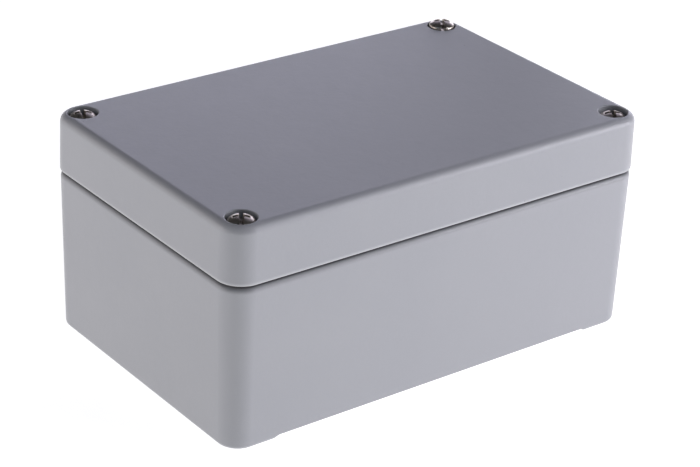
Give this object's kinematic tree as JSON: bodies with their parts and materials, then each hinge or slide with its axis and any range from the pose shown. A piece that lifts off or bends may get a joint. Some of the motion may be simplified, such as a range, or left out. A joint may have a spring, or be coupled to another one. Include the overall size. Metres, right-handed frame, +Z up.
{
  "type": "die cast aluminium box",
  "caption": "Rectangular die cast enclosure with a sealed screw-down lid, captive corner screws, foot rails and wall fixing wells outside the seal.",
  "frame": {"origin": "middle of the underside, at the surface the foot rails stand on", "axes": "+X along the long side, +Y from the front long side to the back one, +Z up through the lid"},
  "size_m": [0.125, 0.0808, 0.06],
  "materials": {
    "grey_powder_coat": "satin",
    "seal_rubber": "matte",
    "stainless_steel": "satin",
    "clear_nylon": "satin",
    "yellow_zinc_plate": "satin"
  },
  "bodies": {
    "base": {"base": "grey_powder_coat"},
    "lid": {"lid": "grey_powder_coat", "lid_gasket": "seal_rubber"},
    "washer_front_left": {"retaining_washer_front_left": "clear_nylon"},
    "screw_front_left": {"lid_screw_front_left": "stainless_steel"},
    "washer_front_right": {"retaining_washer_front_right": "clear_nylon"},
    "screw_front_right": {"lid_screw_front_right": "stainless_steel"},
    "washer_back_left": {"retaining_washer_back_left": "clear_nylon"},
    "screw_back_left": {"lid_screw_back_left": "stainless_steel"},
    "washer_back_right": {"retaining_washer_back_right": "clear_nylon"},
    "screw_back_right": {"lid_screw_back_right": "stainless_steel"},
    "earth_clamp": {"earth_clamp_washer": "yellow_zinc_plate", "earth_lock_washer": "stainless_steel"},
    "earth_screw": {"earth_screw": "yellow_zinc_plate"}
  },
  "joints": [
    {"name": "lid_lift", "type": "slide", "parent": "base", "child": "lid", "axis": [0, 0, 1], "range_m": [0, 0.08]},
    {"name": "front_left_rise", "type": "slide", "parent": "lid", "child": "washer_front_left", "axis": [0, 0, 1], "range_m": [-0.0005, 0.006]},
    {"name": "front_left_turn", "type": "hinge", "parent": "washer_front_left", "child": "screw_front_left", "pos_m": [-0.0565, -0.03435, 0.05], "axis": [0, 0, 1], "range_deg": [-258, 3086]},
    {"name": "front_right_rise", "type": "slide", "parent": "lid", "child": "washer_front_right", "axis": [0, 0, 1], "range_m": [0, 0.0065]},
    {"name": "front_right_turn", "type": "hinge", "parent": "washer_front_right", "child": "screw_front_right", "pos_m": [0.0565, -0.03435, 0.05], "axis": [0, 0, 1], "range_deg": [0, 3343]},
    {"name": "back_left_rise", "type": "slide", "parent": "lid", "child": "washer_back_left", "axis": [0, 0, 1], "range_m": [-0.00035, 0.00615]},
    {"name": "back_left_turn", "type": "hinge", "parent": "washer_back_left", "child": "screw_back_left", "pos_m": [-0.0565, 0.03435, 0.05], "axis": [0, 0, 1], "range_deg": [-180, 3163]},
    {"name": "back_right_rise", "type": "slide", "parent": "lid", "child": "washer_back_right", "axis": [0, 0, 1], "range_m": [-0.00175, 0.00475]},
    {"name": "back_right_turn", "type": "hinge", "parent": "washer_back_right", "child": "screw_back_right", "pos_m": [0.0565, 0.03435, 0.05], "axis": [0, 0, 1], "range_deg": [-900, 2443]},
    {"name": "earth_clamp_rise", "type": "slide", "parent": "base", "child": "earth_clamp", "axis": [0, 0, 1], "range_m": [0, 0.003]},
    {"name": "earth_screw_turn", "type": "hinge", "parent": "earth_clamp", "child": "earth_screw", "pos_m": [-0.0515, 0, 0.012], "axis": [0, 0, 1], "range_deg": [0, 1543]}
  ],
  "couplings": [
    {"joint": "front_left_turn", "follows": "front_left_rise", "rad_per_m": 8976},
    {"joint": "front_right_turn", "follows": "front_right_rise", "rad_per_m": 8976},
    {"joint": "back_left_turn", "follows": "back_left_rise", "rad_per_m": 8976},
    {"joint": "back_right_turn", "follows": "back_right_rise", "rad_per_m": 8976},
    {"joint": "earth_screw_turn", "follows": "earth_clamp_rise", "rad_per_m": 8976}
  ]
}
